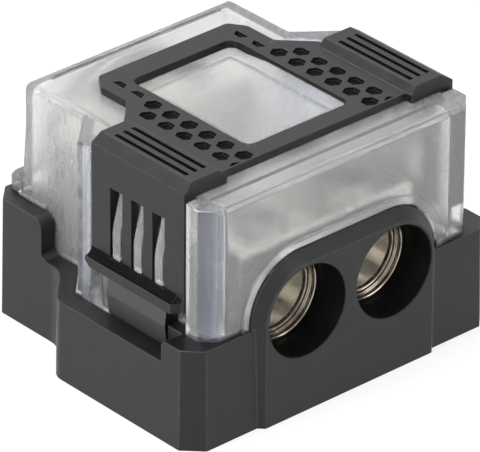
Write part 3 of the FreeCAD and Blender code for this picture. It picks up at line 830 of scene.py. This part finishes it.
@dataclass
class FrameMoulding(RoundedSolid):
    """Top frame with painted shade in its pockets and the coves over its finger tabs."""

    pocket_low: float = 40.8 * MM
    pocket_high: float = 41.4 * MM
    plate_top: float = 41.69 * MM
    field: Span = (11.0 * MM, 16.7 * MM)
    field_front: float = -19.45 * MM
    field_diagonal: float = 18.3 * MM
    cove_low: float = 22.3 * MM
    cove_high: float = 23.75 * MM
    leg_face: float = 27.2 * MM
    tab_face: float = 28.6 * MM
    tongue_top: float = 20.6 * MM
    tongue_bend: float = 16.2 * MM
    tongue_foot: float = 14.0 * MM
    tongue_reach: float = 2.3 * MM
    tray_wall: float = 27.38 * MM
    pocket_floor_shade: float = 1.0
    pocket_wall_shade: float = 0.85
    cove_shade: float = 1.0
    level: float = 0.5
    steep: float = 0.7
    not_under: float = -0.1
    sideways: float = 0.8

    def shape(self, work: BMesh) -> None:
        """Draws the tongues' feet down behind the tray's rim, where the light can't pass.

        Args:
            work: the welded frame.
        """
        for vertex in work.verts:
            at = vertex.co
            if at.z < self.tongue_bend:
                share = (self.tongue_bend - at.z) / (self.tongue_bend - self.tongue_foot)
                at.z -= self.tongue_reach * share
                if at.z < self.tongue_foot:
                    at.x = math.copysign(min(abs(at.x), self.tray_wall), at.x)

    def mark(self, mesh: Mesh) -> None:
        """Marks the faces of painted shade, which lose sheen, and the tongues' painted highlight.

        Args:
            mesh: the frame's mesh.
        """
        side, depth, height = face_data(mesh, "center").T
        facing = face_data(mesh, "normal")
        side = np.abs(side)
        in_pocket = height > self.pocket_low
        floors = (in_pocket & (height < self.pocket_high) & (facing[:, 2] > self.level)
                  & (side < self.leg_face))
        walls = (in_pocket & (height < self.plate_top) & (np.abs(facing[:, 2]) < self.steep)
                 & (side > self.field[0]) & (side < self.field[1])
                 & (depth > self.field_front) & (side + depth < self.field_diagonal))
        coves = ((height > self.cove_low) & (height < self.cove_high) & (side > self.leg_face)
                 & (side < self.tab_face) & (facing[:, 2] > self.not_under))
        tongues = ((height < self.tongue_top) & (side > self.leg_face)
                   & (np.abs(facing[:, 0]) > self.sideways))
        # Painted shade: pocket floors and walls and the coves lose their sheen.
        mark_faces(mesh, SHADE_ATTRIBUTE,
                   self.pocket_floor_shade * floors + self.pocket_wall_shade * walls + self.cove_shade * coves)
        # Painted highlight: the tongues are made paler.
        mark_faces(mesh, TONGUE_SHEEN_ATTRIBUTE, tongues)


@dataclass
class TrayMoulding(RoundedSolid):
    """Tray with painted shade inside its ports."""

    front_r: float = 7.73 * MM
    rear_x: float = 6.9 * MM
    rear_z: Span = (12.6 * MM, 25.0 * MM)
    rear_r: float = 4.6 * MM
    edge: float = 0.1 * MM
    port_shade: float = 0.75

    def mark(self, mesh: Mesh) -> None:
        """Marks the walls of the two large and the four small ports.

        Args:
            mesh: the tray's mesh.
        """
        side, depth, height = face_data(mesh, "center").T
        side = np.abs(side)
        inside = ((np.hypot(side - PORT_X, height - PORT_Z) < self.front_r + self.edge)
                  & (depth < 0))
        for middle in self.rear_z:
            inside |= ((np.hypot(side - self.rear_x, height - middle)
                        < self.rear_r + self.edge) & (depth > 0))
        # Painted shade: the ports' walls lose their sheen.
        mark_faces(mesh, SHADE_ATTRIBUTE, self.port_shade * inside)


@dataclass
class PlatedBlock(RoundedSolid):
    """Terminal block with its two large bores marked for the finish's painted light."""

    bore_r: float = 5.9 * MM
    edge: float = 0.05 * MM

    def mark(self, mesh: Mesh) -> None:
        """Marks the faces inside a large bore.

        Args:
            mesh: the block's mesh.
        """
        side, depth, height = face_data(mesh, "center").T
        away = np.hypot(np.abs(side) - PORT_X, height - PORT_Z)
        mark_faces(mesh, BORE_ATTRIBUTE, (away < self.bore_r + self.edge) & (depth < 0))


# Turned pieces

def grid_mesh(name: str, points: np.ndarray, looped: bool = False) -> Mesh:
    """Makes a closed mesh from rows of rings.

    The surface runs from ring to ring, and each ring closes on itself. Corner (i, j) of the
    grid is joined to (i, j + 1), (i + 1, j + 1) and (i + 1, j), so that its faces look outward
    where the rings turn anticlockwise about the way that the rows run. A looped surface joins
    its last ring to its first, and any other one has a flat face over each end ring.

    Args:
        name: the mesh's name.
        points: array of rows, points around and coordinates.
        looped: whether the rows close on themselves too.

    Returns:
        The mesh.
    """
    rows, around = points.shape[:2]
    strips = rows if looped else rows - 1
    row, place = np.meshgrid(np.arange(strips), np.arange(around), indexing="ij")
    ahead = (row + 1) % rows
    after = (place + 1) % around
    quads = np.stack([row * around + place, row * around + after,
                      ahead * around + after, ahead * around + place], axis=-1)
    ring = np.arange(around)
    ends = [] if looped else [ring[::-1], (rows - 1) * around + ring]
    corners = np.concatenate([quads.reshape(-1), *ends])
    starts = np.concatenate([np.arange(0, quads.size, 4),
                             quads.size + around * np.arange(len(ends))]).astype(np.int32)
    mesh = bpy.data.meshes.new(name)
    mesh.vertices.add(rows * around)
    mesh.vertices.foreach_set("co", points.reshape(-1))
    mesh.loops.add(len(corners))
    mesh.loops.foreach_set("vertex_index", corners.astype(np.int32))
    mesh.polygons.add(len(starts))
    mesh.polygons.foreach_set("loop_start", starts)
    mesh.update(calc_edges=True)
    mesh.validate()
    return mesh


@dataclass
class ThreadedScrew:
    """Headless screw with a helical thread, a chamfered foot and a hexagon socket.

    Shares of the socket are of half its width across flats, and those named drop are of the
    chamfer at the screw's end.
    """

    node: str
    body: str
    thread_r: float
    flats: float
    socket_depth: float
    pitch: float
    depth_share: float = 0.3
    tip: float = 0.35 * MM
    clearance: float = 0.02 * MM
    centre_r: float = 0.02 * MM
    mouth_share: float = 1.22
    rim_share: float = 1.02
    rim_drop: float = 0.3
    rim_hexagon: float = 0.8
    drill_share: float = 0.4
    around: int = 48
    turn_rows: int = 8

    @property
    def crest_r(self) -> float:
        """Radius over the thread's crests."""
        return self.thread_r - self.clearance

    @property
    def depth(self) -> float:
        """Depth of the thread."""
        return self.depth_share * self.pitch

    def thread(self, low: float, high: float) -> list[tuple[float, ...]]:
        """Rows of the thread between two heights, several to each turn."""
        count = max(2, round((high - low) / self.pitch * self.turn_rows))
        return [(self.crest_r, z, 0.0, 1.0) for z in np.linspace(low, high, count)]

    def profile(self, foot: float, top: float) -> list[tuple[float, ...]]:
        """Rows from the foot to the bottom of the socket.

        Args:
            foot: height of the foot face, in metres.
            top: height of the top face, in metres.

        Returns:
            One row of radius, height, hexagon share and thread share for each ring.
        """
        root_r = self.crest_r - self.depth
        socket = self.flats / 2
        floor = top - self.socket_depth
        return [(self.centre_r, foot, 0.0, 0.0), (root_r - self.tip, foot, 0.0, 0.0),
                (root_r, foot + self.tip, 0.0, 0.0),
                *self.thread(foot + self.tip + self.depth, top - self.depth - self.tip),
                (self.crest_r - self.depth / 2, top - self.tip, 0.0, 0.0),
                (self.crest_r - self.tip, top, 0.0, 0.0),
                (socket * self.mouth_share, top, 0.0, 0.0),
                (socket * self.rim_share, top - self.rim_drop * self.tip, self.rim_hexagon, 0.0),
                (socket, top - self.tip, 1.0, 0.0), (socket, floor, 1.0, 0.0),
                (self.centre_r, floor - self.drill_share * socket, 0.0, 0.0)]

    def points(self, low: Vector, high: Vector) -> np.ndarray:
        """Grid of the screw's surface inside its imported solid's box.

        A ring's radius is the row's own, less the thread's depth times a triangle wave of the
        height in pitches less the angle in turns. A hexagon ring's radius at an angle is half
        its width across flats over the cosine of the angle to the nearest flat's middle.

        Args:
            low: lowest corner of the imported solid's box.
            high: highest corner of that box.

        Returns:
            Array of rows, points around and coordinates.
        """
        rows = np.array(self.profile(low.z, high.z))
        angle = np.arange(self.around) * TURN / self.around
        radius, height, hexagon, thread = (rows[:, i, None] for i in range(4))
        phase = (height / self.pitch - angle / TURN) % 1.0
        wave = np.abs(2 * phase - 1)
        round_r = radius - self.depth * thread * wave
        flat = (angle + TURN / 12) % (TURN / 6) - TURN / 12
        side_r = radius / np.cos(flat)
        ring = round_r * (1 - hexagon) + side_r * hexagon
        middle = (low + high) / 2
        return np.stack([middle.x + ring * np.cos(angle), middle.y + ring * np.sin(angle),
                         np.broadcast_to(height, ring.shape)], axis=-1)

    def build(self, material: Material) -> None:
        """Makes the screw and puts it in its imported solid's place.

        Args:
            material: the screw's finish.
        """
        low, high = (Vector(corner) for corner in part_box(self.node))
        name = self.node + "_turned"
        show(name, grid_mesh(name, self.points(low, high)), material, self.body, Slot.STEEL,
             self.node)


@dataclass
class FixingScrew(ThreadedScrew):
    """Cap screw under the tray's floor: its head points down, with the socket in it."""

    head_r: float = 3.58 * MM
    head_height: float = 2.2 * MM
    mouth_share: float = 1.2
    wall_share: float = 0.8
    bevel_share: float = 0.5

    def profile(self, foot: float, top: float) -> list[tuple[float, ...]]:
        """Rows from the socket in the head, at the foot, up to the thread's end.

        Args:
            foot: height of the head's face, in metres.
            top: height of the thread's end, in metres.

        Returns:
            One row of radius, height, hexagon share and thread share for each ring.
        """
        root_r = self.crest_r - self.depth
        socket = self.flats / 2
        neck = foot + self.head_height
        return [(self.centre_r, foot + self.socket_depth, 0.0, 0.0),
                (socket, foot + self.wall_share * self.socket_depth, 1.0, 0.0),
                (socket, foot + self.bevel_share * self.tip, 1.0, 0.0),
                (socket * self.mouth_share, foot, 0.0, 0.0),
                (self.head_r - self.tip, foot, 0.0, 0.0), (self.head_r, foot + self.tip, 0.0, 0.0),
                (self.head_r, neck, 0.0, 0.0), (self.crest_r, neck, 0.0, 0.0),
                *self.thread(neck + self.depth, top - self.depth - self.tip),
                (root_r, top - self.tip, 0.0, 0.0), (root_r - self.tip, top, 0.0, 0.0),
                (self.centre_r, top, 0.0, 0.0)]


@dataclass
class PortRing:
    """Stepped ring in the counterbore of a large port, with its rims a little uneven."""

    name: str
    side: int
    face_y: float = -21.9 * MM
    lip: float = 0.5 * MM
    uneven: float = 0.03 * MM
    waves: tuple[int, ...] = (5, 11, 23)
    around: int = 96

    def profile(self) -> np.ndarray:
        """Section of the ring.

        Returns:
            Closed loop of depth behind the block's face and radius, in millimetres.
        """
        return np.array([
            (0.00, 7.64), (-0.40, 7.64), (-0.52, 7.54), (-0.52, 7.20), (-0.40, 7.06),
            (0.30, 7.00), (0.38, 6.92), (0.38, 6.70), (0.46, 6.62), (0.86, 6.58),
            (0.92, 6.50), (0.92, 6.32), (0.80, 6.26), (0.80, 6.16), (0.95, 6.06),
            (1.18, 5.96), (1.18, 7.24), (0.00, 7.24),
        ])

    def build(self, material: Material) -> None:
        """Turns the profile about the port's axis and puts the ring in the scene.

        The front rows' depth varies by the mean of three sine waves around the axis, as on a
        rim that was broken off its runner.

        Args:
            material: the ring's finish.
        """
        x = self.side * PORT_X
        angle = np.arange(self.around) * TURN / self.around
        depth, radius = (self.profile()[:, i, None] * MM for i in range(2))
        phases = (x / MM, 0.0, 1.0)
        wave = sum(np.sin(count * angle + phase) for count, phase in zip(self.waves, phases))
        front = np.clip(-depth / self.lip, 0, 1)
        depth = depth + self.uneven * front * wave / len(self.waves)
        points = np.stack([x + radius * np.cos(angle), self.face_y + depth,
                           PORT_Z + radius * np.sin(angle)], axis=-1)
        show(self.name, grid_mesh(self.name, points, looped=True), material, Body.BASE.value,
             Slot.PLATED)


# Studio

@dataclass(frozen=True)
class Lamp:
    """Square softbox: its place in metres, the length of its sides and its power in watts."""

    name: str
    place: Point
    size: float
    power: float

    def build(self, target: Point) -> None:
        """Hangs the lamp so that it faces a point.

        Args:
            target: the point, in metres.
        """
        data = bpy.data.lights.new(self.name, "AREA")
        data.size = self.size
        data.energy = self.power
        lamp = place_object(self.name, data)
        lamp.location = self.place
        aim = Vector(target) - Vector(self.place)
        lamp.rotation_euler = aim.to_track_quat("-Z", "Y").to_euler()


@dataclass
class Studio:
    """Pale floor, white surroundings, soft lamps and the camera."""

    eye: Point = (-587.65, -658.36, 522.15)
    target: Point = (3.45, 0.8, 15.13)
    roll: float = math.radians(0.47)
    lens: float = 492.9
    sensor: float = 36.0
    clip: Span = (0.05, 20.0)
    floor_half: float = 3.0
    floor_shade: Colour = colour(0.82, 0.82, 0.82)
    floor_glow: float = 1.1
    glow_share: float = 0.7
    white: Colour = colour(1, 1, 1)
    sky_light: float = 0.45
    lit_point: Point = (0, 0, 0.02)
    bounces: int = 16
    mirror_bounces: int = 10
    lamps: tuple[Lamp, ...] = (Lamp("lamp_left", (-0.9, 0.0, 0.65), 0.7, 14.0),
                               Lamp("lamp_front", (0.35, -0.9, 0.6), 0.6, 2.0),
                               Lamp("lamp_top", (0.1, 0.35, 1.1), 0.9, 8.0))

    def camera(self) -> None:
        """Sets the camera at the photograph's view.

        It looks from the eye to the target, both in millimetres, and is turned by the roll
        about that line.
        """
        data = bpy.data.cameras.new("camera")
        data.lens = self.lens
        data.sensor_width = self.sensor
        data.sensor_fit = "HORIZONTAL"
        data.clip_start, data.clip_end = self.clip
        camera = place_object("camera", data)
        eye = Vector(self.eye) * MM
        forward = (Vector(self.target) * MM - eye).normalized()
        level = forward.cross(Vector((0, 0, 1))).normalized()
        upright = level.cross(forward)
        right = level * math.cos(self.roll) + upright * math.sin(self.roll)
        up = upright * math.cos(self.roll) - level * math.sin(self.roll)
        turned = Matrix((right, up, -forward)).transposed().to_4x4()
        camera.matrix_world = Matrix.Translation(eye) @ turned
        bpy.context.scene.camera = camera

    @staticmethod
    def seen(shader: Shader) -> NodeSocket:
        """Tells the rays of what is looked at from the rays of light.

        Args:
            shader: the tree that asks.

        Returns:
            A socket that is 1 for camera, glossy and transmission rays, else 0.
        """
        path = shader.add("ShaderNodeLightPath")
        both = shader.value(Maths.ADD, path.outputs["Is Camera Ray"], path.outputs["Is Glossy Ray"])
        return shader.value(Maths.ADD, both, path.outputs["Is Transmission Ray"], clamp=True)

    def floor(self) -> None:
        """Lays the pale floor, white where it is looked at and with the object's shadow on it."""
        half = self.floor_half
        mesh = bpy.data.meshes.new("floor")
        corners = [(-half, -half, 0), (half, -half, 0), (half, half, 0), (-half, half, 0)]
        mesh.from_pydata(corners, [], [(0, 1, 2, 3)])
        material = bpy.data.materials.new("floor")
        material.use_nodes = True
        shader = Shader(material.node_tree)
        diffuse = shader.add("ShaderNodeBsdfDiffuse")
        diffuse.inputs["Color"].default_value = self.floor_shade
        glow = shader.add("ShaderNodeEmission")
        glow.inputs["Color"].default_value = self.white
        glow.inputs["Strength"].default_value = self.floor_glow
        mix = shader.add("ShaderNodeMixShader")
        shader.join(shader.value(Maths.MULTIPLY, self.seen(shader), self.glow_share),
                    mix.inputs["Fac"])
        shader.join(diffuse.outputs["BSDF"], mix.inputs[1])
        shader.join(glow.outputs["Emission"], mix.inputs[2])
        output = shader.add("ShaderNodeOutputMaterial")
        shader.join(mix.outputs["Shader"], output.inputs["Surface"])
        mesh.materials.append(material)
        floor = place_object("floor", mesh)

    def world(self) -> None:
        """Makes the surroundings: plain for light, full white where they are looked at."""
        world = bpy.data.worlds.new("surroundings")
        world.use_nodes = True
        shader = Shader(world.node_tree)
        light = shader.add("ShaderNodeBackground")
        light.inputs["Color"].default_value = self.white
        shader.join(shader.ramp(self.seen(shader), 0.0, 1.0, self.sky_light, 1.0),
                    light.inputs["Strength"])
        output = shader.add("ShaderNodeOutputWorld")
        shader.join(light.outputs["Background"], output.inputs["Surface"])
        bpy.context.scene.world = world

    def build(self) -> None:
        """Builds the whole studio."""
        self.camera()
        self.floor()
        self.world()
        for lamp in self.lamps:
            lamp.build(self.lit_point)
        scene = bpy.context.scene
        scene.view_settings.view_transform = "Standard"
        scene.cycles.glossy_bounces = self.mirror_bounces
        scene.cycles.max_bounces = self.bounces


@dataclass
class DistributionBlock:
    """The whole object, piece by piece."""

    frame: dict

    def finishes(self) -> dict[Slot, Material]:
        """Builds the finish of each of the record's slots.

        Returns:
            Each slot's material.
        """
        steel = Metal("screw_steel", Slot.STEEL, shade=colour(0.5, 0.49, 0.47),
                      dull=colour(0.3, 0.29, 0.27))
        finishes = (BlackPlastic("tray_moulding", Slot.TRAY),
                    BlackPlastic("frame_moulding", Slot.FRAME),
                    ClearPlastic("clear_moulding", Slot.CLEAR),
                    Metal("nickel_plate", Slot.PLATED), steel)
        return {finish.slot: finish.build() for finish in finishes}

    def solids(self) -> list[tuple[RoundedSolid, Slot]]:
        """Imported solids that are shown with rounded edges.

        Returns:
            Each solid with its slot.
        """
        rib_feet = EdgeRule((20.0, -17.0, 23.2), (28.0, -4.0, 23.6), 0, 0.45 * MM, 4)
        channel_rear = EdgeRule((27.0, 0.2, 16.0), (27.6, 0.5, 42.0), 2, 0.85 * MM, 4, 0.1)
        channel_front = EdgeRule((27.0, -21.5, 18.0), (27.6, -21.0, 42.0), 2, 0.45 * MM)
        return [
            (TrayMoulding("base_tray", "tray_moulding", Body.BASE, 0.16 * MM), Slot.TRAY),
            (PlatedBlock("terminal_block", "plated_block", Body.BASE, 0.15 * MM), Slot.PLATED),
            (CoverMoulding("clear_cover", "cover_moulding", Body.COVER, 0.14 * MM,
                           (rib_feet, channel_rear, channel_front)), Slot.CLEAR),
            (FrameMoulding("top_frame", "frame_moulding", Body.COVER, 0.10 * MM), Slot.FRAME),
        ]

    def screws(self) -> list[ThreadedScrew]:
        """Set screws over the bores and the two screws under the floor.

        A kind's sizes are its thread's radius, its socket's width and depth, and its pitch.

        Returns:
            The screws.
        """
        inputs = ("left_front", "left_rear", "right_front", "right_rear")
        outputs = ("lower_left", "lower_right", "upper_left", "upper_right")
        kinds = ((ThreadedScrew, "input_screw_", inputs, (4.0, 4.0, 2.8, 1.25)),
                 (ThreadedScrew, "output_screw_", outputs, (3.0, 3.0, 2.8, 1.0)),
                 (FixingScrew, "block_fixing_screw_", ("front", "rear"), (2.0, 3.0, 1.4, 0.7)))
        return [kind(start + place, self.body(start + place), *(size * MM for size in sizes))
                for kind, start, places, sizes in kinds for place in places]

    def body(self, node: str) -> str:
        """Name of the body that carries a node."""
        bodies = self.frame["record"]["behaviour"]["bodies"]
        return next(name for name, nodes in bodies.items() if node in nodes)

    def build(self) -> None:
        """Builds and dresses every piece."""
        finishes = self.finishes()
        bronze = Metal("ring_bronze", Slot.PLATED, relief=0.04 * MM, gloss=(0.12, 0.34),
                       shade=colour(0.40, 0.36, 0.31), dull=colour(0.16, 0.13, 0.11)).build()
        for solid, slot in self.solids():
            solid.build(self.frame, finishes[slot], slot)
        for screw in self.screws():
            screw.build(finishes[Slot.STEEL])
        for name, side in (("left", -1), ("right", 1)):
            PortRing("port_ring_" + name, side).build(bronze)


def main() -> None:
    """Loads the frame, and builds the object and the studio."""
    logging.basicConfig(level=logging.INFO, format="%(name)s %(message)s")
    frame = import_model()
    DistributionBlock(frame).build()
    Studio().build()


if __name__ == "__main__":
    main()
